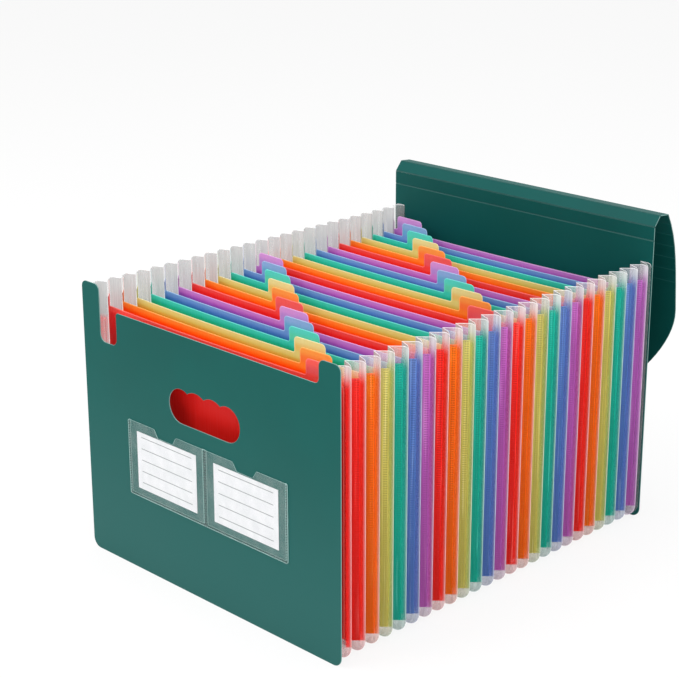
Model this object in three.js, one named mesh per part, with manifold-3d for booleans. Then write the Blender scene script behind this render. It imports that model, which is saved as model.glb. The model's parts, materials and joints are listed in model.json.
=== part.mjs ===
// Accordion file organizer, standing open at full length.
// Two stiff covers hold a clear bellows that is folded from one U-shaped film. Coloured
// divider sheets sit in its inner creases and part the pockets. The back cover goes on
// over two narrow spine strips into a lid flap, and a clear pocket on the front cover
// holds two label cards.
// Millimetres: X across, Y from the front cover to the back, Z up.

import * as THREE from 'three';
import Module from 'manifold-3d';
import { mergeVertices } from 'three/addons/utils/BufferGeometryUtils.js';

// Sheet stock
const coverWidth = 330;
const coverHeight = 262;
const coverThickness = 0.9;
const coverCornerRadius = 9;
const filmThickness = 0.4;
const cardThickness = 0.3;
const layerGap = 0.3;

// Bellows and pockets
const openLength = 410;
const pocketCount = 25;
const pocketPitch = openLength / pocketCount;
const pleatDepth = 12;
const pleatLean = 0.7;
const bellowsSideInset = 1.5;
const bellowsFloorInset = 1;
const bellowsTopInset = 3;
const creaseCornerRadius = 1.5;
const cornerFacets = 4;

// Divider sheets and their tabs
const creaseClearance = 0.75;
const dividerTopInset = 25;
const dividerCornerRadius = 2;
const tabRise = 14.5;
const tabWidth = 36;
const tabCornerRadius = 4;
const tabSideMargin = 5;
const tabsPerRow = 12;

// Front cover cut-outs
const earWidth = 24.5;
const earCornerRadius = 6;
const notchDepth = 21;
const notchCornerRadius = 5;
const slotWidth = 23.5;
const slotDepth = 52.5;
const slotCornerRadius = 7;
const slotLipRadius = 3;
const handleLength = 92;
const handleHeight = 32;
const handleCentreHeight = 176;
const fingerPitch = 21.5;
const fingerRise = 3.2;

// Label pocket and cards
const labelCellWidth = 104;
const labelHeight = 72;
const labelBottom = 73;
const labelCornerRadius = 2;
const weldWidth = 2.5;
const thumbNotchTop = 30;
const thumbNotchBottom = 20;
const thumbNotchDepth = 7.5;
const thumbNotchRadius = 2;
const cardWidth = 81;
const cardHeight = 54.5;
const cardLift = 6;

// Back cover, spine strips and flap
const backHeight = 294;
const scoreSpacing = 13.4;
const scoreWidth = 1;
const scoreDepth = 0.3;
const lowerStripLength = 12.4;
const upperStripLength = 12.8;
const lowerStripLean = 40;
const upperStripLean = 95;
const flapLean = 175;
const flapStripLength = 12.3;
const flapStripBends = [-23, -17, -11, -6, -3, -1];
const flapSideLength = 29;
const flapTipLength = 141;
const flapSideHandle = 50;
const flapTipHandle = 65;
const hingeSetback = 0.45;

// Facets of the round stretches
const coverArcSegments = 8;
const filmArcSegments = 4;
const tipSegments = 24;
const mergeTolerance = 1e-4;

// Places that follow from the sizes above
const halfCover = coverWidth / 2;
const creaseHalfWidth = halfCover - bellowsSideInset - pleatDepth;
const creaseFloor = bellowsFloorInset + pleatDepth;
const frontCrease = coverThickness + layerGap + filmThickness / 2;
const backCrease = frontCrease + pocketCount * pocketPitch;
const backFace = backCrease + filmThickness / 2 + layerGap;

const wasm = await Module();
wasm.setup();

function solidOf(geometry) {
  geometry.deleteAttribute('normal');
  geometry.deleteAttribute('uv');
  const merged = mergeVertices(geometry, mergeTolerance);
  return new wasm.Manifold(new wasm.Mesh({
    numProp: 3,
    vertProperties: new Float32Array(merged.attributes.position.array),
    triVerts: new Uint32Array(merged.index.array),
  }));
}

function geometryOf(solid) {
  const mesh = solid.getMesh();
  const geometry = new THREE.BufferGeometry();
  geometry.setAttribute('position', new THREE.BufferAttribute(mesh.vertProperties, 3));
  geometry.setIndex(new THREE.BufferAttribute(mesh.triVerts, 1));
  geometry.computeVertexNormals();
  return geometry;
}

// An outline of straight edges with rounded corners, each corner given as [x, z, radius]
function roundedOutline(corners) {
  const outline = new THREE.Shape();
  corners.forEach(([x, z, radius], i) => {
    const corner = new THREE.Vector2(x, z);
    const before = new THREE.Vector2(...corners.at(i - 1)).sub(corner).normalize();
    const after = new THREE.Vector2(...corners[(i + 1) % corners.length]).sub(corner).normalize();
    const halfAngle = Math.acos(before.dot(after)) / 2;
    const middle = before.clone().add(after).normalize();
    const centre = corner.clone().addScaledVector(middle, radius / Math.sin(halfAngle));
    const start = corner.clone().addScaledVector(before, radius / Math.tan(halfAngle)).sub(centre);
    const end = corner.clone().addScaledVector(after, radius / Math.tan(halfAngle)).sub(centre);
    const clockwise = before.cross(after) > 0;
    outline.absarc(centre.x, centre.y, radius, start.angle(), end.angle(), clockwise);
  });
  outline.closePath();
  return outline;
}

// A flat sheet standing upright, from y = 0 back to its thickness
function uprightSheet(outline, thickness, curveSegments) {
  const options = { depth: thickness, bevelEnabled: false, curveSegments };
  const geometry = new THREE.ExtrudeGeometry(outline, options);
  return geometry.rotateX(Math.PI / 2).translate(0, thickness, 0);
}

function block(width, depth, height, x, y, z) {
  return new THREE.BoxGeometry(width, depth, height).translate(x, y, z);
}

// The cut edge of a sheet that follows a folded line, mitred at every fold
function foldedSection(line, thickness) {
  const last = line.length - 1;
  const sides = [[], []];
  line.forEach((point, i) => {
    const into = line[Math.max(i, 1)].clone().sub(line[Math.max(i, 1) - 1]).normalize();
    const out = line[Math.min(i, last - 1) + 1].clone().sub(line[Math.min(i, last - 1)]).normalize();
    const along = into.clone().add(out).normalize();
    const across = new THREE.Vector2(-along.y, along.x);
    const reach = thickness / 2 / along.dot(into);
    sides[0].push(point.clone().addScaledVector(across, -reach));
    sides[1].unshift(point.clone().addScaledVector(across, reach));
  });
  return new THREE.Shape([...sides[0], ...sides[1]]);
}

// A folded sheet whose section lies in the Y and Z plane and runs the width of the cover
function foldedSheet(line) {
  const trimmed = line.map((point) => point.clone());
  const first = trimmed[1].clone().sub(trimmed[0]).normalize();
  trimmed[0].addScaledVector(first, hingeSetback);
  const options = { depth: coverWidth, bevelEnabled: false };
  const geometry = new THREE.ExtrudeGeometry(foldedSection(trimmed, coverThickness), options);
  const turn = new THREE.Matrix4().makeBasis(
    new THREE.Vector3(0, 1, 0),
    new THREE.Vector3(0, 0, 1),
    new THREE.Vector3(1, 0, 0),
  );
  return geometry.applyMatrix4(turn).translate(-halfCover, 0, 0);
}

// Front cover: two ears, a shallow notch between them, a deep slot beside the left ear
// and a handle hole whose upper edge is scalloped for the fingers
function frontCoverGeometry() {
  const notchFloor = coverHeight - notchDepth;
  const slotFloor = coverHeight - slotDepth;
  const earInside = halfCover - earWidth;
  const slotInside = slotWidth - earInside;
  const outline = roundedOutline([
    [-halfCover, 0, coverCornerRadius],
    [halfCover, 0, coverCornerRadius],
    [halfCover, coverHeight, earCornerRadius],
    [earInside, coverHeight, earCornerRadius],
    [earInside, notchFloor, notchCornerRadius],
    [slotInside, notchFloor, slotLipRadius],
    [slotInside, slotFloor, slotCornerRadius],
    [-earInside, slotFloor, slotCornerRadius],
    [-earInside, coverHeight, earCornerRadius],
    [-halfCover, coverHeight, earCornerRadius],
  ]);
  outline.holes.push(handleHole());
  return uprightSheet(outline, coverThickness, coverArcSegments);
}

function handleHole() {
  const radius = handleHeight / 2;
  const endCentre = handleLength / 2 - radius;
  const cuspAngle = Math.acos((fingerPitch - endCentre) / radius);
  const cuspHeight = handleCentreHeight + radius * Math.sin(cuspAngle);
  const crest = cuspHeight + 2 * fingerRise;
  const hole = new THREE.Path();
  hole.absarc(endCentre, handleCentreHeight, radius, -Math.PI / 2, cuspAngle, false);
  hole.quadraticCurveTo(fingerPitch / 2, crest, 0, cuspHeight);
  hole.quadraticCurveTo(-fingerPitch / 2, crest, -fingerPitch, cuspHeight);
  hole.absarc(-endCentre, handleCentreHeight, radius, Math.PI - cuspAngle, Math.PI * 1.5, false);
  hole.closePath();
  return hole;
}

// Label pocket: one clear film over two cells, standing off the cover on its weld lines,
// open at the top with a thumb notch in each cell
function labelPocketGeometry() {
  const top = labelBottom + labelHeight;
  const notchFloor = top - thumbNotchDepth;
  const notchFor = (x) => [
    [x + thumbNotchTop / 2, top, thumbNotchRadius],
    [x + thumbNotchBottom / 2, notchFloor, thumbNotchRadius],
    [x - thumbNotchBottom / 2, notchFloor, thumbNotchRadius],
    [x - thumbNotchTop / 2, top, thumbNotchRadius],
  ];
  const outline = roundedOutline([
    [-labelCellWidth, labelBottom, labelCornerRadius],
    [labelCellWidth, labelBottom, labelCornerRadius],
    [labelCellWidth, top, labelCornerRadius],
    ...notchFor(labelCellWidth / 2),
    ...notchFor(-labelCellWidth / 2),
    [-labelCellWidth, top, labelCornerRadius],
  ]);
  const standOff = layerGap + cardThickness + layerGap;
  const rim = standOff - layerGap;
  let film = solidOf(uprightSheet(outline, rim + filmThickness, filmArcSegments));
  for (const side of [-1, 1]) {
    const cellWidth = labelCellWidth - 2 * weldWidth;
    const cellHeight = labelHeight;
    const cell = block(cellWidth, 2 * rim, cellHeight,
      side * labelCellWidth / 2, filmThickness + rim, labelBottom + weldWidth + cellHeight / 2);
    film = film.subtract(solidOf(cell));
  }
  return geometryOf(film).translate(0, -standOff - filmThickness, 0);
}

function labelCardGeometry(side) {
  const height = labelBottom + weldWidth + cardLift + cardHeight / 2;
  return block(cardWidth, cardThickness, cardHeight,
    side * labelCellWidth / 2, -layerGap - cardThickness / 2, height);
}

// The walk along the inner crease: down the left side, across the floor, up the right side
class CreaseWalk extends THREE.Curve {
  constructor() {
    super();
    this.points = [];
    this.outward = [];
    const top = coverHeight - bellowsTopInset;
    this.addStation(-creaseHalfWidth, top, Math.PI);
    this.addCorner(-1, Math.PI);
    this.addCorner(1, Math.PI * 1.5);
    this.addStation(creaseHalfWidth, top, 0);
  }

  addStation(x, z, angle) {
    this.points.push(new THREE.Vector3(x, 0, z));
    this.outward.push(new THREE.Vector3(Math.cos(angle), 0, Math.sin(angle)));
  }

  addCorner(side, startAngle) {
    const centreX = side * (creaseHalfWidth - creaseCornerRadius);
    const centreZ = creaseFloor + creaseCornerRadius;
    for (let i = 0; i <= cornerFacets; i += 1) {
      const angle = startAngle + (Math.PI / 2) * (i / cornerFacets);
      const x = centreX + creaseCornerRadius * Math.cos(angle);
      this.addStation(x, centreZ + creaseCornerRadius * Math.sin(angle), angle);
    }
  }

  getSpacedPoints() {
    return this.points;
  }

  computeFrenetFrames() {
    const binormals = this.points.map(() => new THREE.Vector3(0, 1, 0));
    const tangents = this.outward.map((normal, i) => normal.clone().cross(binormals[i]));
    return { tangents, normals: this.outward, binormals };
  }
}

// Bellows: a zigzag of film, flat against each cover at its ends, swept round the pockets.
// Each outer fold leans back over the next crease.
function bellowsGeometry() {
  const line = [new THREE.Vector2(pleatDepth, frontCrease)];
  for (let i = 0; i < pocketCount; i += 1) {
    const crease = frontCrease + i * pocketPitch;
    line.push(new THREE.Vector2(0, crease));
    line.push(new THREE.Vector2(pleatDepth, crease + pleatLean * pocketPitch));
  }
  line.push(new THREE.Vector2(0, backCrease));
  line.push(new THREE.Vector2(pleatDepth, backCrease));
  const walk = new CreaseWalk();
  const options = { steps: walk.points.length - 1, extrudePath: walk };
  return new THREE.ExtrudeGeometry(foldedSection(line, filmThickness), options);
}

// Divider: a film sheet with one tab, which steps from right to left along a row of pockets
function dividerGeometry(index) {
  const halfWidth = creaseHalfWidth - creaseClearance;
  const bottom = creaseFloor + creaseClearance;
  const shoulder = coverHeight - dividerTopInset;
  const tabTop = shoulder + tabRise;
  const firstTab = halfWidth - tabSideMargin - tabWidth / 2;
  const tabStep = 2 * firstTab / (tabsPerRow - 1);
  const tabCentre = firstTab - (index % tabsPerRow) * tabStep;
  const outline = roundedOutline([
    [-halfWidth, bottom, dividerCornerRadius],
    [halfWidth, bottom, dividerCornerRadius],
    [halfWidth, shoulder, dividerCornerRadius],
    [tabCentre + tabWidth / 2, shoulder, dividerCornerRadius],
    [tabCentre + tabWidth / 2, tabTop, tabCornerRadius],
    [tabCentre - tabWidth / 2, tabTop, tabCornerRadius],
    [tabCentre - tabWidth / 2, shoulder, dividerCornerRadius],
    [-halfWidth, shoulder, dividerCornerRadius],
  ]);
  const sheet = uprightSheet(outline, filmThickness, filmArcSegments);
  return sheet.translate(0, -filmThickness / 2, 0);
}

// Back cover: plain, with a score line across its inner face below the first fold
function backCoverGeometry() {
  const top = backHeight - hingeSetback;
  const edge = coverThickness / 2;
  const outline = roundedOutline([
    [-halfCover, 0, coverCornerRadius],
    [halfCover, 0, coverCornerRadius],
    [halfCover, top, edge],
    [-halfCover, top, edge],
  ]);
  const score = block(coverWidth + scoreWidth, 2 * scoreDepth, scoreWidth,
    0, 0, backHeight - scoreSpacing);
  const sheet = solidOf(uprightSheet(outline, coverThickness, coverArcSegments));
  return geometryOf(sheet.subtract(solidOf(score)));
}

function stripGeometry(length) {
  const line = [new THREE.Vector2(0, 0), new THREE.Vector2(0, length - hingeSetback)];
  return foldedSheet(line);
}

// A step of the given length along a direction that leans from up towards the back
function step(length, leanDegrees) {
  const lean = THREE.MathUtils.degToRad(leanDegrees);
  return new THREE.Vector2(Math.sin(lean), Math.cos(lean)).multiplyScalar(length);
}

// Lid flap: a run of scored strips that bend it into a curve, then a flat tongue whose
// sides sweep in to a rounded tip. Its own Z axis runs along the flat tongue.
function flapGeometry() {
  const line = [new THREE.Vector2(0, 0)];
  for (const bend of flapStripBends) {
    line.push(line.at(-1).clone().add(step(flapStripLength, bend)));
  }
  const flatStart = line.at(-1).y;
  const skirt = flatStart + flapSideLength;
  const tip = skirt + flapTipLength;
  line.push(line.at(-1).clone().add(step(tip - flatStart, 0)));
  const outline = new THREE.Shape();
  outline.moveTo(-halfCover, -flapStripLength);
  outline.lineTo(halfCover, -flapStripLength);
  outline.lineTo(halfCover, skirt);
  outline.bezierCurveTo(halfCover, skirt + flapSideHandle, flapTipHandle, tip, 0, tip);
  outline.bezierCurveTo(-flapTipHandle, tip, -halfCover, skirt + flapSideHandle, -halfCover, skirt);
  outline.closePath();
  const reach = tip - flatStart;
  const options = { depth: 2 * reach, bevelEnabled: false, curveSegments: tipSegments };
  const cutter = new THREE.ExtrudeGeometry(outline, options);
  cutter.rotateX(Math.PI / 2).translate(0, reach, 0);
  return geometryOf(solidOf(foldedSheet(line)).intersect(solidOf(cutter)));
}

function sheetMaterial(color, roughness) {
  return new THREE.MeshStandardMaterial({ color, roughness, metalness: 0, side: THREE.DoubleSide });
}

function filmMaterial(color, opacity) {
  const material = sheetMaterial(color, 0.25);
  material.transparent = true;
  material.opacity = opacity;
  return material;
}

function addPiece(parent, name, geometry, material) {
  const piece = new THREE.Mesh(geometry, material);
  piece.name = name;
  parent.add(piece);
  return piece;
}

// A fold line that the next piece of the sheet turns on
function addHinge(parent, along, lean) {
  const hinge = new THREE.Group();
  hinge.position.set(0, along.x, along.y);
  hinge.rotation.x = -THREE.MathUtils.degToRad(lean);
  parent.add(hinge);
  return hinge;
}

const coverGreen = 0x2f6a63;
const clearFilm = 0xe6ebee;
const cardWhite = 0xf4f3f6;
const dividerColours = [0xeb1e1e, 0xfa6e0a, 0xe1c86e, 0x19b996, 0x5a73be, 0xb45ab9];

const group = new THREE.Group();
const coverMaterial = () => sheetMaterial(coverGreen, 0.45);
addPiece(group, 'front_cover', frontCoverGeometry(), coverMaterial());
addPiece(group, 'label_pocket', labelPocketGeometry(), filmMaterial(clearFilm, 0.35));
addPiece(group, 'label_card_left', labelCardGeometry(-1), sheetMaterial(cardWhite, 0.8));
addPiece(group, 'label_card_right', labelCardGeometry(1), sheetMaterial(cardWhite, 0.8));
addPiece(group, 'bellows', bellowsGeometry(), filmMaterial(clearFilm, 0.4));

for (let i = 0; i < pocketCount - 1; i += 1) {
  const number = String(i + 1).padStart(2, '0');
  const colour = dividerColours[i % dividerColours.length];
  const divider = addPiece(group, `divider_${number}`, dividerGeometry(i), filmMaterial(colour, 0.8));
  divider.position.y = frontCrease + (i + 1) * pocketPitch;
}

const back = addPiece(group, 'back_cover', backCoverGeometry(), coverMaterial());
back.position.y = backFace;

const backMiddle = backFace + coverThickness / 2;
const lowerHinge = addHinge(group, new THREE.Vector2(backMiddle, backHeight), lowerStripLean);
addPiece(lowerHinge, 'spine_strip_lower', stripGeometry(lowerStripLength), coverMaterial());
const upperHinge = addHinge(lowerHinge, step(lowerStripLength, 0), upperStripLean - lowerStripLean);
addPiece(upperHinge, 'spine_strip_upper', stripGeometry(upperStripLength), coverMaterial());
const flapHinge = addHinge(upperHinge, step(upperStripLength, 0), flapLean - upperStripLean);
addPiece(flapHinge, 'cover_flap', flapGeometry(), coverMaterial());

// The origin lies under the middle of the whole organizer
const reach = new THREE.Box3().setFromObject(group, true);
group.position.y = -(reach.min.y + reach.max.y) / 2;

export default group;
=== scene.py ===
"""Looks of the open accordion file: scored cover sheets, clear bellows, coloured dividers."""

import json
import math

import bmesh
import bpy
from mathutils import Matrix, Vector


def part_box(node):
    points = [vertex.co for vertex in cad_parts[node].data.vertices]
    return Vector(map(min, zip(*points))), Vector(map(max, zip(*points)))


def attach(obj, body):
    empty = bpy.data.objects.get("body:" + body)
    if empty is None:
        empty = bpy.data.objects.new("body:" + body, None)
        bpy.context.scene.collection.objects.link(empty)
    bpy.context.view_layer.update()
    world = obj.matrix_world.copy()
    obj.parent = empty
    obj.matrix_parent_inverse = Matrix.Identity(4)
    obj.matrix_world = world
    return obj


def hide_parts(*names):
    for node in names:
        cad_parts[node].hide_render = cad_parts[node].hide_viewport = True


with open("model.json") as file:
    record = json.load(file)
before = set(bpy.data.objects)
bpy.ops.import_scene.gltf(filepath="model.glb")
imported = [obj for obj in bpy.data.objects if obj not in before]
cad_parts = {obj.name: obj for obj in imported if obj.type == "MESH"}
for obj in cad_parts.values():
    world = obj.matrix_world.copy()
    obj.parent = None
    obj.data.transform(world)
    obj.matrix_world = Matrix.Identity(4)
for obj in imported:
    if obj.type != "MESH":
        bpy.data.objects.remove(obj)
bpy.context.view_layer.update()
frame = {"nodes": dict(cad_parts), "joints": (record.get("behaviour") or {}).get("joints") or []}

MM = 0.001
POCKETS = 25
DIVIDERS = POCKETS - 1
TAB_RISE = 14.5 * MM
CREASE_GAP = 0.75 * MM
CREASE_TURN = 1.5 * MM
PLEAT_LEAN = 0.7

# Places read from the frame
front_low, front_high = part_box("front_cover")
back_low, back_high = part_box("back_cover")
bellows_low, bellows_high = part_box("bellows")
label_low, label_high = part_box("label_pocket")
first_low, first_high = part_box("divider_01")
second_low, second_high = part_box("divider_02")
pitch = second_low.y - first_low.y
divider_half = first_high.x
first_crease = (first_low.y + first_high.y) / 2 - pitch
crease_half = divider_half + CREASE_GAP
pleat_depth = bellows_high.x - crease_half
crease_floor = bellows_low.z + pleat_depth
shoulder = second_high.z - TAB_RISE
leaf = Vector((pleat_depth, PLEAT_LEAN * pitch, 0))

# Where the dividers' margins end, and their weld line runs, as shares of a pleat's leaf
MARGIN_END = 0.74
WELD_LINE = 0.55

# Camera, measured from the middle of the front cover's foot, in millimetres
CAMERA_PLACE = (1034.4, -866.1, 700.9)
CAMERA_AZIMUTH = 44.7
CAMERA_HEIGHT_ANGLE = 17.61
FOCAL_PIXELS = 1694.0
CENTRE_PIXEL = (352.0, 305.0)
PHOTO_SIZE = (679, 678)
SENSOR = 36.0

# Cover greens: the sheet, its foot lit by painted light, a darker copy as painted shade, and the cut
# edge tone, partly the cut face and partly a painted highlight
GREEN = (0.0050, 0.086, 0.075)
GREEN_LIT_FOOT = (0.022, 0.118, 0.108)
GREEN_SHADED = (0.003, 0.070, 0.063)
GREEN_EDGE_AND_HIGHLIGHT = (0.16, 0.30, 0.28)

# The dividers' films, in their order from the front: one tone each, which through() varies into paler
# tones of painted light and darker tones of painted shade
FILMS = {
    "red": (0.87, 0.016, 0.012),
    "orange": (0.92, 0.12, 0.005),
    "yellow": (0.61, 0.53, 0.10),
    "green": (0.010, 0.43, 0.30),
    "blue": (0.075, 0.18, 0.52),
    "purple": (0.46, 0.10, 0.46),
}

# How far the margins rise above the dividers' shoulders, and how far the back cover's groove lies
# below its fold
MARGIN_RISE = 7.0 * MM
BACK_GROOVE_DROP = 13.4 * MM


def scaled(colour, share):
    return tuple(share * part for part in colour)


def through(colour, depth, other=(1.0, 1.0, 1.0), other_depth=1.0):
    """What light keeps on its way through a depth of one film, and then through some of another."""
    return tuple(a**depth * b**other_depth for a, b in zip(colour, other))


def node(tree, kind, inputs=None, **settings):
    """Adds a shader node. An input is a value, or the socket that feeds it."""
    made = tree.nodes.new(kind)
    for name, value in settings.items():
        setattr(made, name, value)
    for name, value in (inputs or {}).items():
        if isinstance(value, bpy.types.NodeSocket):
            tree.links.new(value, made.inputs[name])
        else:
            made.inputs[name].default_value = value
    return made


def maths(tree, operation, first, second=0.0):
    made = node(tree, "ShaderNodeMath", {0: first, 1: second}, operation=operation)
    return made.outputs[0]


def ramp(tree, value, low, high, out_low=0.0, out_high=1.0):
    """A smooth step of value between low and high."""
    inputs = {"Value": value, "From Min": low, "From Max": high, "To Min": out_low, "To Max": out_high}
    return node(tree, "ShaderNodeMapRange", inputs, interpolation_type="SMOOTHSTEP").outputs["Result"]


def mix(tree, factor, first, second):
    made = node(tree, "ShaderNodeMix", data_type="RGBA")
    for socket, value in ((made.inputs[0], factor), (made.inputs[6], first), (made.inputs[7], second)):
        if isinstance(value, bpy.types.NodeSocket):
            tree.links.new(value, socket)
        else:
            socket.default_value = value if socket.type == "VALUE" else (*value, 1.0)
    return made.outputs[2]


def new_group(name, inputs, outputs):
    """A node group with float inputs (name: default) and outputs (name: kind)."""
    tree = bpy.data.node_groups.new(name, "ShaderNodeTree")
    for label, value in inputs.items():
        socket = tree.interface.new_socket(label, in_out="INPUT", socket_type="NodeSocketFloat")
        socket.default_value = value
    for label, kind in outputs.items():
        tree.interface.new_socket(label, in_out="OUTPUT", socket_type="NodeSocket" + kind)
    return tree, tree.nodes.new("NodeGroupInput"), tree.nodes.new("NodeGroupOutput")


def use_group(tree, group, inputs=None):
    made = tree.nodes.new("ShaderNodeGroup")
    made.node_tree = group
    for name, value in (inputs or {}).items():
        if isinstance(value, bpy.types.NodeSocket):
            tree.links.new(value, made.inputs[name])
        else:
            made.inputs[name].default_value = value
    return made


def make_grain_group():
    """Fine embossed grain of extruded sheet, with a slow cloudiness under it."""
    tree, inside, out = new_group(
        "sheet_grain", {"Grain": 2600.0, "Cloud": 9.0, "Relief": 0.12},
        {"Cloud": "Float", "Normal": "Vector"},
    )
    place = node(tree, "ShaderNodeTexCoord").outputs["Object"]
    sizes = inside.outputs
    grain = node(tree, "ShaderNodeTexNoise", {"Vector": place, "Scale": sizes["Grain"], "Detail": 2.0})
    cloud = node(tree, "ShaderNodeTexNoise", {"Vector": place, "Scale": sizes["Cloud"], "Detail": 3.0})
    bump = node(
        tree, "ShaderNodeBump",
        {"Strength": inside.outputs["Relief"], "Distance": 0.00012, "Height": grain.outputs["Fac"]},
    )
    tree.links.new(cloud.outputs["Fac"], out.inputs["Cloud"])
    tree.links.new(bump.outputs["Normal"], out.inputs["Normal"])
    return tree


def make_streak_group():
    """Long upright waves and draw lines in thin film."""
    tree, inside, out = new_group(
        "film_streaks", {"Across": 60.0, "Along": 3.0, "Relief": 0.2},
        {"Streak": "Float", "Normal": "Vector"},
    )
    place = node(tree, "ShaderNodeTexCoord").outputs["Object"]
    scale = node(
        tree, "ShaderNodeCombineXYZ",
        {"X": inside.outputs["Across"], "Y": inside.outputs["Across"], "Z": inside.outputs["Along"]},
    )
    spread = node(tree, "ShaderNodeVectorMath", {0: place, 1: scale.outputs[0]}, operation="MULTIPLY")
    wave = node(tree, "ShaderNodeTexNoise", {"Vector": spread.outputs[0], "Scale": 1.0, "Detail": 3.0})
    bump = node(
        tree, "ShaderNodeBump",
        {"Strength": inside.outputs["Relief"], "Distance": 0.0015, "Height": wave.outputs["Fac"]},
    )
    tree.links.new(wave.outputs["Fac"], out.inputs["Streak"])
    tree.links.new(bump.outputs["Normal"], out.inputs["Normal"])
    return tree


def make_dots_group():
    """A row of small weld marks along a line: Across is the distance from the line."""
    tree, inside, out = new_group(
        "weld_dots", {"Across": 0.0, "Along": 0.0, "Spacing": 1.6 * MM, "Radius": 0.5 * MM},
        {"Mask": "Float"},
    )
    turns = maths(tree, "DIVIDE", inside.outputs["Along"], inside.outputs["Spacing"])
    part = maths(tree, "SUBTRACT", maths(tree, "FRACT", turns), 0.5)
    along = maths(tree, "MULTIPLY", part, inside.outputs["Spacing"])
    across_square = maths(tree, "POWER", inside.outputs["Across"], 2.0)
    along_square = maths(tree, "POWER", along, 2.0)
    distance = maths(tree, "SQRT", maths(tree, "ADD", across_square, along_square))
    share = maths(tree, "DIVIDE", distance, inside.outputs["Radius"])
    tree.links.new(ramp(tree, share, 1.15, 0.7), out.inputs["Mask"])
    return tree


def make_neighbour_light_group():
    """Painted light: the colour of the nearest divider painted into a clear film, running on into the
    next one through a darker blend of painted shade.
    """
    tree, _, out = new_group("painted_neighbour_light", {}, {"Color": "Color"})
    place = node(tree, "ShaderNodeTexCoord").outputs["Object"]
    along = node(tree, "ShaderNodeSeparateXYZ", {0: place}).outputs["Y"]
    nearest = maths(tree, "MAXIMUM", along, first_crease + pitch)
    nearest = maths(tree, "MINIMUM", nearest, first_crease + (DIVIDERS + 0.5) * pitch)
    from_first = maths(tree, "SUBTRACT", nearest, first_crease + pitch)
    turns = maths(tree, "DIVIDE", from_first, len(FILMS) * pitch)
    shades = node(tree, "ShaderNodeValToRGB", {0: maths(tree, "FRACT", turns)})
    stops = shades.color_ramp.elements
    tones = list(FILMS.values())
    stops[0].color, stops[1].color = (*tones[0], 1.0), (*tones[0], 1.0)
    for i, tone in enumerate(tones):
        following = tones[(i + 1) % len(tones)]
        # Painted shade: the blend into the next film is darkened
        both = scaled(through(tone, 0.85, following, 0.15), 0.75)
        for share, shade in ((0.0, tone), (0.5, tone), (0.7, both), (0.9, both)):
            if i or share:
                stops.new((i + share) / len(tones)).color = (*shade, 1.0)
    tree.links.new(shades.outputs["Color"], out.inputs["Color"])
    return tree


SHEET_GRAIN = make_grain_group()
FILM_STREAKS = make_streak_group()
WELD_DOTS = make_dots_group()
PAINTED_NEIGHBOUR_LIGHT = make_neighbour_light_group()


def new_material(name):
    material = bpy.data.materials.new(name)
    material.use_nodes = True
    tree = material.node_tree
    return material, tree, tree.nodes["Principled BSDF"]


def cut_edge_mask(tree):
    return node(tree, "ShaderNodeAttribute", attribute_name="cut_edge").outputs["Fac"]


def cover_finish(name, tone, lit_foot_tone):
    """Dark green polypropylene sheet: satin, with a fine grain, lighter towards its foot as a painted
    light gradient, and paler cut edges, partly the cut face and partly a painted highlight.
    """
    material, tree, shader = new_material(name)
    grain = use_group(tree, SHEET_GRAIN)
    cloud = ramp(tree, grain.outputs["Cloud"], 0.3, 0.7)
    face = mix(tree, cloud, tone, tuple(a * 1.12 for a in tone))
    place = node(tree, "ShaderNodeTexCoord").outputs["Object"]
    height = node(tree, "ShaderNodeSeparateXYZ", {0: place}).outputs["Z"]
    # Painted light: the face grows lighter towards its foot
    face = mix(tree, ramp(tree, height, 0.24, 0.0), face, lit_foot_tone)
    # Paler cut edges: partly the sheet's cut face, partly a painted highlight
    colour = mix(tree, cut_edge_mask(tree), face, GREEN_EDGE_AND_HIGHLIGHT)
    tree.links.new(colour, shader.inputs["Base Color"])
    tree.links.new(ramp(tree, grain.outputs["Cloud"], 0.2, 0.8, 0.42, 0.52), shader.inputs["Roughness"])
    tree.links.new(grain.outputs["Normal"], shader.inputs["Normal"])
    shader.inputs["Specular IOR Level"].default_value = 0.09
    return material


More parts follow.
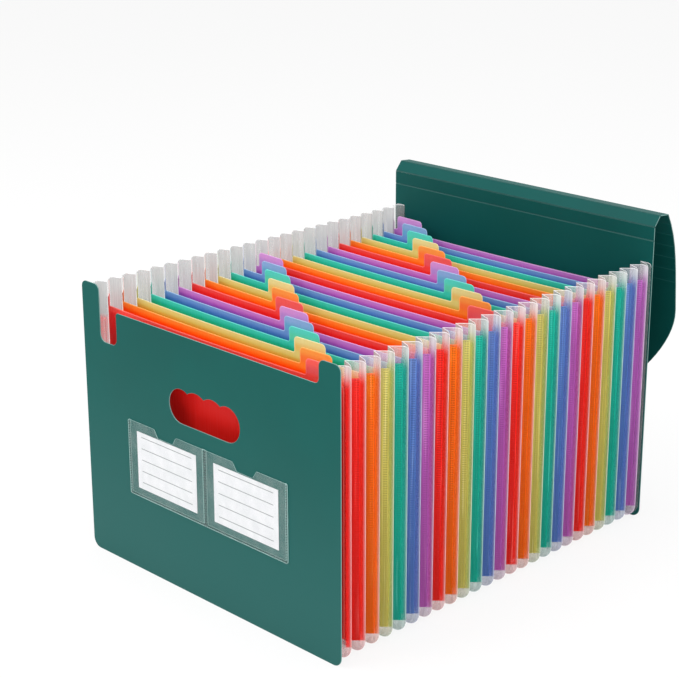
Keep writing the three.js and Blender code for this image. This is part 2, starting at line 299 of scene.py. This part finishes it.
def divider_finish(name):
    """Coloured translucent film, welded at the sides, with painted light and shade: bright at its free
    top and tab, deeper and shaded below, with the light of the film in front painted into its lower
    tones.
    """
    material, tree, shader = new_material("divider_" + name)
    names = list(FILMS)
    body = FILMS[name]
    in_front = FILMS[names[names.index(name) - 1]]
    # Painted light and shade: rim, tab and top are paler tones for the lit free top, the rim also a
    # painted highlight; tab_foot and deep_shade have the light of the film in front painted in, and
    # deep_shade is painted shade as well
    rim, tab, top = through(body, 0.42), through(body, 0.55), through(body, 0.70)
    tab_foot = through(body, 0.5, in_front, 0.15)
    deep_shade = through(body, 1.0, in_front, 0.25)
    streaks = use_group(tree, FILM_STREAKS, {"Across": 420.0, "Along": 9.0, "Relief": 0.25})
    streak = streaks.outputs["Streak"]
    place = node(tree, "ShaderNodeTexCoord").outputs["Object"]
    axes = node(tree, "ShaderNodeSeparateXYZ", {0: place})
    height = axes.outputs["Z"]
    from_middle = maths(tree, "ABSOLUTE", axes.outputs["X"])
    margin = ramp(tree, from_middle, divider_half - 1.0 * MM, divider_half)
    # Painted shade below the shoulder, painted light near it and on the tab
    free = mix(tree, ramp(tree, height, shoulder - 8.5 * MM, shoulder - 4.0 * MM), deep_shade, body)
    free = mix(tree, ramp(tree, height, shoulder - 6.0 * MM, shoulder - 1.5 * MM), free, top)
    free = mix(tree, ramp(tree, height, shoulder, shoulder + 4.0 * MM), free, tab_foot)
    free = mix(tree, ramp(tree, height, second_high.z - 9.0 * MM, second_high.z - 3.0 * MM), free, tab)
    # Painted shade: the lower body darker, out of the light
    in_light = ramp(tree, height, shoulder - 90 * MM, shoulder - 12 * MM)
    free = mix(tree, in_light, scaled(body, 0.72), free)
    # Painted shade: darker towards the back right
    to_right = maths(tree, "MULTIPLY", ramp(tree, axes.outputs["X"], 0.0, divider_half), 0.3)
    to_back = ramp(tree, axes.outputs["Y"], first_low.y, back_low.y)
    free = mix(tree, maths(tree, "MULTIPLY", to_right, to_back), free, (0, 0, 0))
    # The welded margins: painted shade darker towards their foot and beside the inner crease; the
    # streaks and weld dots are the film's own
    welded = mix(tree, ramp(tree, height, 0.0, shoulder), scaled(body, 0.46), body)
    dull = maths(tree, "MULTIPLY", ramp(tree, streak, 0.60, 0.42), 0.75)
    bright = maths(tree, "MULTIPLY", ramp(tree, streak, 0.58, 0.70), 0.35)
    welded = mix(tree, dull, welded, scaled(body, 0.6))
    welded = mix(tree, bright, welded, rim)
    shade = ramp(tree, from_middle, crease_half + 0.26 * leaf.x, crease_half + 0.50 * leaf.x)
    welded = mix(tree, shade, scaled(body, 0.40), welded)
    inset = maths(tree, "SUBTRACT", from_middle, crease_half + WELD_LINE * leaf.x)
    for column in (-0.55 * MM, 0.85 * MM):
        across = maths(tree, "SUBTRACT", inset, column)
        dots = use_group(tree, WELD_DOTS, {
            "Across": across, "Along": height, "Spacing": 2.1 * MM, "Radius": 0.65 * MM,
        })
        dotted = maths(tree, "MULTIPLY", dots.outputs["Mask"], 0.75)
        welded = mix(tree, dotted, welded, scaled(body, 0.36))
    tone = mix(tree, margin, free, welded)
    # Cut edges and rims take the paler rim tone: partly the film's edge, partly a painted highlight
    tone = mix(tree, maths(tree, "MULTIPLY", cut_edge_mask(tree), 0.8), tone, rim)
    tree.links.new(tone, shader.inputs["Base Color"])
    tree.links.new(ramp(tree, height, shoulder - 6 * MM, shoulder, 1.0, 0.93), shader.inputs["Alpha"])
    tree.links.new(streaks.outputs["Normal"], shader.inputs["Normal"])
    # Painted glow: the film emits its own tone, the welded margins most, as light through the films
    glow = mix(tree, margin, (0.45, 0.45, 0.45), (1.0, 1.0, 1.0))
    lit = node(tree, "ShaderNodeVectorMath", {0: tone, 1: glow}, operation="MULTIPLY").outputs[0]
    tree.links.new(lit, shader.inputs["Emission Color"])
    shader.inputs["Emission Strength"].default_value = 0.28
    shader.inputs["Roughness"].default_value = 0.4
    shader.inputs["Specular IOR Level"].default_value = 0.10
    shader.inputs["Subsurface Weight"].default_value = 0.6
    shader.inputs["Subsurface Radius"].default_value = (1.0, 1.0, 1.0)
    shader.inputs["Subsurface Scale"].default_value = 0.002
    return material


def clear_finish():
    """Clear film of the bellows with painted light: the colour of the films beside it, a pale halo by
    the folds, a pale rim and a glow; its return leaves look milkier.
    """
    material, tree, shader = new_material("clear_film")
    streaks = use_group(tree, FILM_STREAKS, {"Across": 300.0, "Along": 7.0, "Relief": 0.3})
    place = node(tree, "ShaderNodeTexCoord").outputs["Object"]
    axes = node(tree, "ShaderNodeSeparateXYZ", {0: place})
    height = axes.outputs["Z"]
    out = maths(tree, "SUBTRACT", maths(tree, "ABSOLUTE", axes.outputs["X"]), crease_half)
    outer = ramp(tree, out, (MARGIN_END - 0.04) * pleat_depth, (MARGIN_END + 0.02) * pleat_depth)
    turns = maths(tree, "DIVIDE", maths(tree, "SUBTRACT", axes.outputs["Y"], first_crease), pitch)
    back_leaf = maths(tree, "GREATER_THAN", maths(tree, "FRACT", turns), PLEAT_LEAN)
    last = maths(tree, "GREATER_THAN", turns, DIVIDERS + 0.72)
    above = ramp(tree, height, shoulder + MARGIN_RISE - 4 * MM, shoulder + MARGIN_RISE + 2 * MM)
    below = ramp(tree, height, first_low.z + 0.6 * MM, first_low.z)
    bare = maths(tree, "MAXIMUM", above, below)
    wave = ramp(tree, streaks.outputs["Streak"], 0.3, 0.7)
    edge = cut_edge_mask(tree)
    # Painted light: the colours of the dividers behind, painted into the clear film
    neighbour_light = use_group(tree, PAINTED_NEIGHBOUR_LIGHT).outputs["Color"]
    white = mix(tree, wave, (0.64, 0.65, 0.65), (0.76, 0.77, 0.77))
    grey = mix(tree, wave, (0.46, 0.46, 0.455), (0.54, 0.54, 0.535))
    left = ramp(tree, axes.outputs["X"], 0.5 * divider_half, -0.5 * divider_half)
    whiter = ramp(tree, height, shoulder + MARGIN_RISE - 6 * MM, bellows_high.z - 3 * MM, 0.0, 0.85)
    whiter = maths(tree, "MAXIMUM", whiter, maths(tree, "MULTIPLY", below, 0.7))
    left = maths(tree, "MULTIPLY", left, ramp(tree, height, shoulder - 14 * MM, shoulder - 8 * MM))
    whiter = maths(tree, "MAXIMUM", whiter, maths(tree, "MAXIMUM", left, last))
    # Painted highlight: a pale halo beside each outer fold
    painted_fold_halo = maths(tree, "MULTIPLY", ramp(tree, out, 0.84 * pleat_depth, pleat_depth), 0.34)
    neighbour_light = mix(tree, painted_fold_halo, neighbour_light, white)
    tone = mix(tree, whiter, neighbour_light, mix(tree, back_leaf, white, grey))
    # The cut rim: partly the film's pale edge, partly a painted highlight
    tone = mix(tree, edge, tone, (0.97, 0.98, 0.99))
    tree.links.new(tone, shader.inputs["Base Color"])
    cover = maths(tree, "ADD", 0.012, maths(tree, "MULTIPLY", outer, 0.42))
    cover = maths(tree, "MAXIMUM", cover, maths(tree, "MULTIPLY", bare, 0.27))
    cover = maths(tree, "MAXIMUM", cover, maths(tree, "MULTIPLY", back_leaf, 0.46))
    kept = maths(tree, "SUBTRACT", 1.0, maths(tree, "MULTIPLY", last, 0.7))
    cover = maths(tree, "MULTIPLY", cover, kept)
    cover = maths(tree, "MULTIPLY", cover, maths(tree, "ADD", 0.8, maths(tree, "MULTIPLY", wave, 0.4)))
    cover = maths(tree, "MAXIMUM", cover, maths(tree, "MULTIPLY", edge, 0.5))
    tree.links.new(cover, shader.inputs["Alpha"])
    tree.links.new(streaks.outputs["Normal"], shader.inputs["Normal"])
    # Painted glow: the film emits its own colour
    tree.links.new(tone, shader.inputs["Emission Color"])
    shader.inputs["Emission Strength"].default_value = 0.12
    shader.inputs["Roughness"].default_value = 0.3
    shader.inputs["Specular IOR Level"].default_value = 0.12
    return material


def fold_finish():
    """The pale line of a hard fold in clear film: partly the film's own whitening, partly a painted
    highlight and glow, with the colour of the films beside it painted in.
    """
    material, tree, shader = new_material("clear_fold")
    streaks = use_group(tree, FILM_STREAKS, {"Across": 30.0, "Along": 40.0, "Relief": 0.05})
    streak = streaks.outputs["Streak"]
    white = mix(tree, streak, (0.85, 0.87, 0.88), (0.98, 0.99, 0.99))
    # Painted light: the colour of the dividers beside the fold; the emission is a painted glow
    neighbour_light = use_group(tree, PAINTED_NEIGHBOUR_LIGHT).outputs["Color"]
    tone = mix(tree, 0.66, neighbour_light, white)
    tree.links.new(tone, shader.inputs["Base Color"])
    tree.links.new(tone, shader.inputs["Emission Color"])
    tree.links.new(ramp(tree, streak, 0.3, 0.7, 0.66, 0.90), shader.inputs["Alpha"])
    shader.inputs["Emission Strength"].default_value = 0.35
    shader.inputs["Roughness"].default_value = 0.25
    return material


def label_finish():
    """Clear film of the label pocket, a little milky, with dotted weld rows."""
    material, tree, shader = new_material("label_film")
    streaks = use_group(tree, FILM_STREAKS, {"Across": 90.0, "Along": 60.0, "Relief": 0.12})
    place = node(tree, "ShaderNodeTexCoord").outputs["Object"]
    axes = node(tree, "ShaderNodeSeparateXYZ", {0: place})
    half = (label_high.x - label_low.x) / 2
    weld = 2.5 * MM
    side = maths(tree, "SUBTRACT", maths(tree, "ABSOLUTE", axes.outputs["X"]), half - weld / 2)
    middle = maths(tree, "SUBTRACT", maths(tree, "ABSOLUTE", axes.outputs["X"]), 0.9 * MM)
    foot = maths(tree, "SUBTRACT", axes.outputs["Z"], label_low.z + weld / 2)
    rows = None
    for across, along in ((side, "Z"), (middle, "Z"), (foot, "X")):
        row = use_group(tree, WELD_DOTS, {
            "Across": across, "Along": axes.outputs[along], "Spacing": 2.4 * MM, "Radius": 0.6 * MM,
        })
        rows = row.outputs["Mask"] if rows is None else maths(tree, "MAXIMUM", rows, row.outputs["Mask"])
    tone = mix(tree, rows, (0.70, 0.82, 0.80), (0.006, 0.045, 0.040))
    # The cut edges: partly the film's pale edge, partly a painted highlight
    tone = mix(tree, cut_edge_mask(tree), tone, (0.55, 0.80, 0.76))
    tree.links.new(tone, shader.inputs["Base Color"])
    cover = ramp(tree, streaks.outputs["Streak"], 0.3, 0.7, 0.05, 0.09)
    cover = maths(tree, "MAXIMUM", cover, maths(tree, "MULTIPLY", rows, 0.85))
    cover = maths(tree, "MAXIMUM", cover, maths(tree, "MULTIPLY", cut_edge_mask(tree), 0.62))
    tree.links.new(cover, shader.inputs["Alpha"])
    tree.links.new(streaks.outputs["Normal"], shader.inputs["Normal"])
    shader.inputs["Roughness"].default_value = 0.22
    shader.inputs["Specular IOR Level"].default_value = 0.3
    return material


def card_finish():
    """White card with thin grey ruled lines."""
    material, tree, shader = new_material("ruled_card")
    grain = use_group(tree, SHEET_GRAIN, {"Grain": 900.0, "Cloud": 60.0, "Relief": 0.05})
    place = node(tree, "ShaderNodeTexCoord").outputs["Object"]
    axes = node(tree, "ShaderNodeSeparateXYZ", {0: place})
    card_low, card_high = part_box("label_card_right")
    centre = (card_low.x + card_high.x) / 2
    half_line = (card_high.x - card_low.x) / 2 - 6 * MM
    spacing = (card_high.z - card_low.z) / 5
    from_top = maths(tree, "SUBTRACT", card_high.z + 0.1 * spacing, axes.outputs["Z"])
    part = maths(tree, "SUBTRACT", maths(tree, "FRACT", maths(tree, "DIVIDE", from_top, spacing)), 0.5)
    offset = maths(tree, "ABSOLUTE", maths(tree, "MULTIPLY", part, spacing))
    line = ramp(tree, offset, 0.48 * MM, 0.26 * MM)
    from_middle = maths(tree, "ABSOLUTE", axes.outputs["X"])
    beside = maths(tree, "ABSOLUTE", maths(tree, "SUBTRACT", from_middle, centre))
    inside = ramp(tree, beside, half_line + 0.2 * MM, half_line - 0.2 * MM)
    above = ramp(tree, axes.outputs["Z"], card_low.z + 0.35 * spacing, card_low.z + 0.4 * spacing)
    mask = maths(tree, "MULTIPLY", maths(tree, "MULTIPLY", line, inside), above)
    cloud = ramp(tree, grain.outputs["Cloud"], 0.3, 0.7)
    paper = mix(tree, cloud, (0.785, 0.765, 0.79), (0.81, 0.79, 0.81))
    tree.links.new(mix(tree, mask, paper, (0.22, 0.22, 0.23)), shader.inputs["Base Color"])
    tree.links.new(grain.outputs["Normal"], shader.inputs["Normal"])
    shader.inputs["Roughness"].default_value = 0.7
    return material


def is_broad(face):
    return face.calc_area() > 1.0 * MM * max(edge.calc_length() for edge in face.edges)


def is_soft(edge, angle):
    """True where shading runs on over an edge: a gentle bend between two broad or two narrow faces."""
    if not edge.is_manifold:
        return True
    one, other = edge.link_faces
    return is_broad(one) == is_broad(other) and edge.calc_face_angle() < math.radians(angle)


def finish_mesh(name, bm, material, smooth_angle=35.0):
    """Turns a bmesh into a named piece with smooth faces and sharp corners."""
    for face in bm.faces:
        face.smooth = True
    for edge in bm.edges:
        edge.smooth = is_soft(edge, smooth_angle)
    mesh = bpy.data.meshes.new(name)
    bm.to_mesh(mesh)
    bm.free()
    piece = bpy.data.objects.new(name, mesh)
    bpy.context.scene.collection.objects.link(piece)
    mesh.materials.append(material)
    return piece


def sheet_mesh(cad_node, edge_round):
    """A copy of a cut sheet with its faces merged and its cut edges slightly rounded."""
    bm = bmesh.new()
    bm.from_mesh(frame["nodes"][cad_node].data)
    bmesh.ops.remove_doubles(bm, verts=bm.verts, dist=0.01 * MM)
    bmesh.ops.dissolve_limit(bm, angle_limit=math.radians(0.5), verts=bm.verts, edges=bm.edges)
    corners = [e for e in bm.edges if e.is_manifold and e.calc_face_angle() > math.radians(60)]
    bmesh.ops.bevel(
        bm, geom=corners, offset=edge_round, affect="EDGES", segments=2, profile=0.5, material=-1
    )
    return bm


def is_bend(edge):
    """True for the line where a scored sheet bends a little."""
    return all(is_broad(face) for face in edge.link_faces) and edge.calc_face_angle() > 0.01


def mark_cut_edges(bm, score_share=0.2):
    """Marks the narrow faces along a sheet's outline, and faintly the score lines across it."""
    layer = bm.faces.layers.float.new("cut_edge")
    for face in bm.faces:
        scored = max(edge.calc_length() for edge in face.edges) > 0.1 and is_score(face)
        face[layer] = 0.0 if is_broad(face) else score_share if scored or is_at_fold(face) else 1.0


def mark_rims(bm, width):
    """Sets in a narrow band along the outline of both faces of a film, and marks it for the pale rim
    tone, which is partly a painted highlight.
    """
    layer = bm.faces.layers.float["cut_edge"]
    broad = [face for face in bm.faces if is_broad(face)]
    for face in bmesh.ops.inset_region(bm, faces=broad, thickness=width, use_even_offset=True)["faces"]:
        face[layer] = 0.8


def is_at_fold(face):
    """True beside a folding score line, where a web covers the cut, and in the back cover's groove."""
    middle = face.calc_center_median().yz
    lines = [Vector(joint["pos_m"]).yz for joint in frame["joints"]]
    lines.append(Vector((back_low.y, back_high.z - BACK_GROOVE_DROP)))
    return any((line - middle).length < 3 * MM for line in lines)


def is_score(face):
    """True for a narrow strip between two broad faces that are nearly in one plane."""
    beside = [f for edge in face.edges for f in edge.link_faces if f is not face and is_broad(f)]
    return len(beside) == 2 and beside[0].normal.dot(beside[1].normal) > 0.5


def cover_piece(cad_node, body, material, score_share=0.2):
    bm = sheet_mesh(cad_node, 0.2 * MM)
    scores = [e for e in bm.edges if e.is_manifold and e.calc_length() > 0.1 and is_bend(e)]
    bmesh.ops.bevel(
        bm, geom=scores, offset=0.4 * MM, affect="EDGES", segments=1, profile=0.5, material=-1
    )
    mark_cut_edges(bm, score_share)
    piece = finish_mesh(cad_node + "_sheet", bm, material)
    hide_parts(cad_node)
    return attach(piece, body)


def bow(bm, depth):
    """Cuts a divider into a grid and bows its free top towards the front."""
    low, high = first_low, first_high
    for i in range(1, 16):
        place = Vector((low.x + (high.x - low.x) * i / 16, 0, 0))
        geom = bm.verts[:] + bm.edges[:] + bm.faces[:]
        bmesh.ops.bisect_plane(bm, geom=geom, plane_co=place, plane_no=(1, 0, 0))
    for i in range(1, 8):
        place = Vector((0, 0, low.z + (high.z - low.z) * i / 8))
        geom = bm.verts[:] + bm.edges[:] + bm.faces[:]
        bmesh.ops.bisect_plane(bm, geom=geom, plane_co=place, plane_no=(0, 0, 1))
    for vert in bm.verts:
        across = vert.co.x / divider_half
        up = max(0.0, (vert.co.z - low.z) / (high.z - low.z))
        vert.co.y -= depth * max(0.0, 1 - across * across) * up * up


def extrude_open(bm, edges):
    """Extrudes open edges in place and gives the new edges, vertices and faces."""
    made = bmesh.ops.extrude_edge_only(bm, edges=edges)["geom"]
    verts = [v for v in made if isinstance(v, bmesh.types.BMVert)]
    faces = [f for f in made if isinstance(f, bmesh.types.BMFace)]
    lines = [e for e in made if isinstance(e, bmesh.types.BMEdge)]
    return [e for e in lines if all(v in verts for v in e.verts)], verts, faces


def add_margins(bm, crease_y):
    """Adds the two side margins of a divider, which turn out along the pleat and are welded to it."""
    along = leaf.normalized()
    inward = Vector((-along.y, along.x, 0))
    for side in (-1, 1):
        start = Vector((side * (crease_half - 1.0 * MM), crease_y, first_low.z))
        rise = Vector((0, 0, shoulder + MARGIN_RISE - first_low.z))
        verts = [bm.verts.new(start), bm.verts.new(start + rise)]
        edges = [bm.edges.new(verts)]
        place = start
        for share in (0.04, MARGIN_END):
            reach = inward * 0.45 * MM + leaf * share
            there = Vector((side * (crease_half + reach.x), crease_y + reach.y, first_low.z))
            edges, moved, faces = extrude_open(bm, edges)
            bmesh.ops.translate(bm, verts=moved, vec=there - place)
            place = there
            bmesh.ops.solidify(bm, geom=faces, thickness=0.2 * MM)


def divider_piece(index, materials):
    name = f"divider_{index + 1:02d}"
    colour = list(FILMS)[index % len(FILMS)]
    bm = sheet_mesh(name, 0.1 * MM)
    mark_cut_edges(bm)
    mark_rims(bm, 0.8 * MM)
    bow(bm, 4.5 * MM)
    add_margins(bm, first_crease + (index + 1) * pitch)
    piece = finish_mesh(name + "_film", bm, materials[colour])
    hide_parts(name)
    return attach(piece, "file")


def pleat_chain():
    """The zigzag of the bellows as (distance out from the crease, y) points."""
    lean = PLEAT_LEAN * pitch
    steps = (0.0, 0.3, 0.58, 0.72, 0.84, 0.93, 0.98, 1.0)
    chain = [(step, 0.0) for step in reversed(steps)]
    for i in range(POCKETS):
        start = i * pitch
        chain += [(step, start + lean * step) for step in steps[1:]]
        chain += [(step, start + pitch - (pitch - lean) * step) for step in reversed(steps[:-1])]
    chain += [(step, POCKETS * pitch) for step in steps[1:]]
    return chain


def bellows_mesh(corner_round):
    """Walks the zigzag down the left side, round both lower corners and up the right side."""
    bend_half, bend_floor = crease_half - CREASE_TURN, crease_floor + CREASE_TURN
    bm = bmesh.new()
    reach = bm.verts.layers.float.new("reach")
    cut_edge = bm.faces.layers.float.new("cut_edge")

    def top_height(share):
        over = max(0.0, share * pleat_depth - (pleat_depth - corner_round))
        return bellows_high.z - corner_round + math.sqrt(max(0.0, corner_round**2 - over**2))

    verts = []
    for share, y in pleat_chain():
        vert = bm.verts.new((-crease_half - share * pleat_depth, first_crease + y, top_height(share)))
        vert[reach] = share
        verts.append(vert)
    edges = [bm.edges.new(pair) for pair in zip(verts, verts[1:])]

    def pull(edges, move, cut=0.0):
        edges, moved, faces = extrude_open(bm, edges)
        for face in faces:
            face[cut_edge] = cut
        for vert in moved:
            vert.co = move(vert)
        return edges

    rim = 0.45 * MM
    edges = pull(edges, lambda v: v.co - Vector((0, 0, rim)), 1.0)
    edges = pull(edges, lambda v: Vector((v.co.x, v.co.y, bend_floor)))
    edges = swing(bm, edges, (-bend_half, 0, bend_floor))
    edges = pull(edges, lambda v: Vector((bend_half, v.co.y, v.co.z)))
    edges = swing(bm, edges, (bend_half, 0, bend_floor))
    edges = pull(edges, lambda v: Vector((v.co.x, v.co.y, top_height(v[reach]) - rim)))
    pull(edges, lambda v: v.co + Vector((0, 0, rim)), 1.0)
    bmesh.ops.remove_doubles(bm, verts=bm.verts, dist=0.005 * MM)
    bmesh.ops.recalc_face_normals(bm, faces=bm.faces)
    return bm


def thicken(piece, thickness):
    """Gives a film its wall, half of it on each side."""
    solid = piece.modifiers.new("wall", "SOLIDIFY")
    solid.thickness = thickness
    solid.offset = 0.0


def bellows_pieces():
    bm = bellows_mesh(3.6 * MM)
    piece = finish_mesh("bellows_film", bm, clear_finish())
    thicken(piece, 0.25 * MM)
    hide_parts("bellows")
    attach(piece, "file")
    lines = fold_lines(fold_finish())
    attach(lines, "file")


def fold_lines(material):
    """A slim pale bead along every outer fold."""
    bm = bmesh.new()
    radius = 0.30 * MM
    bend_half, bend_floor = crease_half - CREASE_TURN, crease_floor + CREASE_TURN
    outer = crease_half + pleat_depth - radius
    top = bellows_high.z - 4.0 * MM
    for i in range(POCKETS):
        y = first_crease + (i + PLEAT_LEAN) * pitch
        made = bmesh.ops.create_circle(bm, cap_ends=False, segments=6, radius=radius)["verts"]
        bmesh.ops.translate(bm, verts=made, vec=(-outer, y, top))
        ring = list({e for v in made for e in v.link_edges})
        ring = carry(bm, ring, (0, 0, bend_floor - top))
        ring = swing(bm, ring, (-bend_half, y, bend_floor))
        ring = carry(bm, ring, (2 * bend_half, 0, 0))
        ring = swing(bm, ring, (bend_half, y, bend_floor))
        carry(bm, ring, (0, 0, top - bend_floor))
    bmesh.ops.holes_fill(bm, edges=[e for e in bm.edges if e.is_boundary], sides=6)
    bmesh.ops.recalc_face_normals(bm, faces=bm.faces)
    return finish_mesh("bellows_fold_lines", bm, material)


def carry(bm, ring, move):
    """Extrudes open edges by a straight move."""
    ring, moved, _ = extrude_open(bm, ring)
    bmesh.ops.translate(bm, verts=moved, vec=move)
    return ring


def swing(bm, ring, centre):
    """Sweeps open edges a quarter turn about a corner of the bellows."""
    ends = list({v for e in ring for v in e.verts})
    made = bmesh.ops.spin(
        bm, geom=ends + ring, cent=centre, axis=(0, -1, 0), dvec=(0, 0, 0), angle=math.pi / 2,
        space=Matrix.Identity(4), steps=8, use_duplicate=False,
    )["geom_last"]
    return [e for e in made if isinstance(e, bmesh.types.BMEdge)]


def hinge_beads(material):
    """The thin webs left at the three folding score lines."""
    half = front_high.x
    for joint, name in zip(frame["joints"], ("lower", "upper", "flap")):
        bm = bmesh.new()
        verts = bmesh.ops.create_circle(bm, cap_ends=False, segments=12, radius=0.35 * MM)["verts"]
        bmesh.ops.rotate(bm, verts=verts, cent=(0, 0, 0), matrix=Matrix.Rotation(math.pi / 2, 3, "Y"))
        bmesh.ops.translate(bm, verts=verts, vec=Vector(joint["pos_m"]) - Vector((half, 0, 0)))
        ring = list({e for v in verts for e in v.link_edges})
        carry(bm, ring, (2 * half, 0, 0))
        bmesh.ops.holes_fill(bm, edges=[e for e in bm.edges if e.is_boundary], sides=12)
        bmesh.ops.recalc_face_normals(bm, faces=bm.faces)
        layer = bm.faces.layers.float.new("cut_edge")
        for face in bm.faces:
            # The webs are paled a little towards the cut edge tone, which is partly a painted highlight
            face[layer] = 0.15
        piece = finish_mesh(name + "_fold_web", bm, material)
        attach(piece, joint["child"])


def label_pieces():
    bm = sheet_mesh("label_pocket", 0.12 * MM)
    mark_cut_edges(bm)
    film = finish_mesh("label_pocket_film", bm, label_finish())
    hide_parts("label_pocket")
    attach(film, "file")
    paper = card_finish()
    for side in ("left", "right"):
        card = finish_mesh(f"ruled_card_{side}", sheet_mesh(f"label_card_{side}", 0.05 * MM), paper)
        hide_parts(f"label_card_{side}")
        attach(card, "file")


def make_camera():
    """The photograph's view: a long lens from the front right, a little above."""
    data = bpy.data.cameras.new("camera")
    data.sensor_width = SENSOR
    data.lens = FOCAL_PIXELS / PHOTO_SIZE[0] * SENSOR
    data.shift_x = -(CENTRE_PIXEL[0] - PHOTO_SIZE[0] / 2) / PHOTO_SIZE[0]
    data.shift_y = (CENTRE_PIXEL[1] - PHOTO_SIZE[1] / 2) / PHOTO_SIZE[0]
    data.clip_end = 50.0
    camera = bpy.data.objects.new("camera", data)
    azimuth, height = math.radians(CAMERA_AZIMUTH), math.radians(CAMERA_HEIGHT_ANGLE)
    back = Vector((
        math.sin(azimuth) * math.cos(height), -math.cos(azimuth) * math.cos(height), math.sin(height)
    ))
    camera.location = Vector(CAMERA_PLACE) * MM + Vector((0, front_low.y, 0))
    camera.rotation_mode = "QUATERNION"
    camera.rotation_quaternion = (-back).to_track_quat("-Z", "Y")
    bpy.context.scene.collection.objects.link(camera)
    bpy.context.scene.camera = camera


def area_light(name, place, target, size, power):
    data = bpy.data.lights.new(name, "AREA")
    data.shape = "SQUARE"
    data.size = size
    data.energy = power
    light = bpy.data.objects.new(name, data)
    light.location = place
    light.rotation_mode = "QUATERNION"
    light.rotation_quaternion = (Vector(target) - Vector(place)).to_track_quat("-Z", "Y")
    bpy.context.scene.collection.objects.link(light)


def seen_directly(tree):
    """1 for rays that should see the white background."""
    path = node(tree, "ShaderNodeLightPath")
    seen = maths(tree, "MAXIMUM", path.outputs["Is Camera Ray"], path.outputs["Is Glossy Ray"])
    return maths(tree, "MAXIMUM", seen, path.outputs["Is Transmission Ray"])


def make_world():
    world = bpy.data.worlds.new("studio")
    bpy.context.scene.world = world
    world.use_nodes = True
    tree = world.node_tree
    background = tree.nodes["Background"]
    background.inputs["Color"].default_value = (1.0, 1.0, 1.0, 1.0)
    strength = ramp(tree, seen_directly(tree), 0.0, 1.0, 0.62, 1.0)
    tree.links.new(strength, background.inputs["Strength"])


def make_floor():
    """A white sweep that only keeps the soft shadow."""
    bm = bmesh.new()
    bmesh.ops.create_grid(bm, x_segments=1, y_segments=1, size=6.0)
    floor = finish_mesh("floor", bm, floor_finish())


def floor_finish():
    material, tree, shader = new_material("studio_floor")
    shader.inputs["Base Color"].default_value = (0.9, 0.9, 0.9, 1.0)
    shader.inputs["Roughness"].default_value = 0.9
    shader.inputs["Specular IOR Level"].default_value = 0.0
    glow = node(tree, "ShaderNodeEmission", {"Color": (1.0, 1.0, 1.0, 1.0), "Strength": 1.0})
    share = maths(tree, "MULTIPLY", seen_directly(tree), 0.85)
    blend = node(tree, "ShaderNodeMixShader", {0: share, 1: shader.outputs[0], 2: glow.outputs[0]})
    tree.links.new(blend.outputs[0], tree.nodes["Material Output"].inputs["Surface"])
    return material


def make_lights():
    middle = (0.0, 0.0, 0.13)
    area_light("key", (-0.9, -1.5, 2.0), middle, 1.6, 34.0)
    area_light("side", (2.2, -0.6, 1.0), middle, 1.4, 22.0)
    area_light("top", (0.1, 0.2, 2.4), middle, 1.8, 24.0)


def main():
    bpy.context.scene.view_settings.view_transform = "Standard"
    make_camera()
    make_world()
    make_floor()
    make_lights()
    cover = cover_finish("cover_sheet", GREEN, GREEN_LIT_FOOT)
    # Painted shade: a darker copy of the cover sheet, for the back cover, the spine strips, the flap and
    # the fold webs
    shaded_sheet = cover_finish("cover_sheet_shaded", GREEN_SHADED, GREEN)
    cover_piece("front_cover", "file", cover)
    cover_piece("back_cover", "file", shaded_sheet)
    cover_piece("spine_strip_lower", "lower_strip", shaded_sheet)
    cover_piece("spine_strip_upper", "upper_strip", shaded_sheet)
    cover_piece("cover_flap", "flap", shaded_sheet, score_share=0.04)
    hinge_beads(shaded_sheet)
    films = {name: divider_finish(name) for name in FILMS}
    for index in range(DIVIDERS):
        divider_piece(index, films)
    bellows_pieces()
    label_pieces()


main()
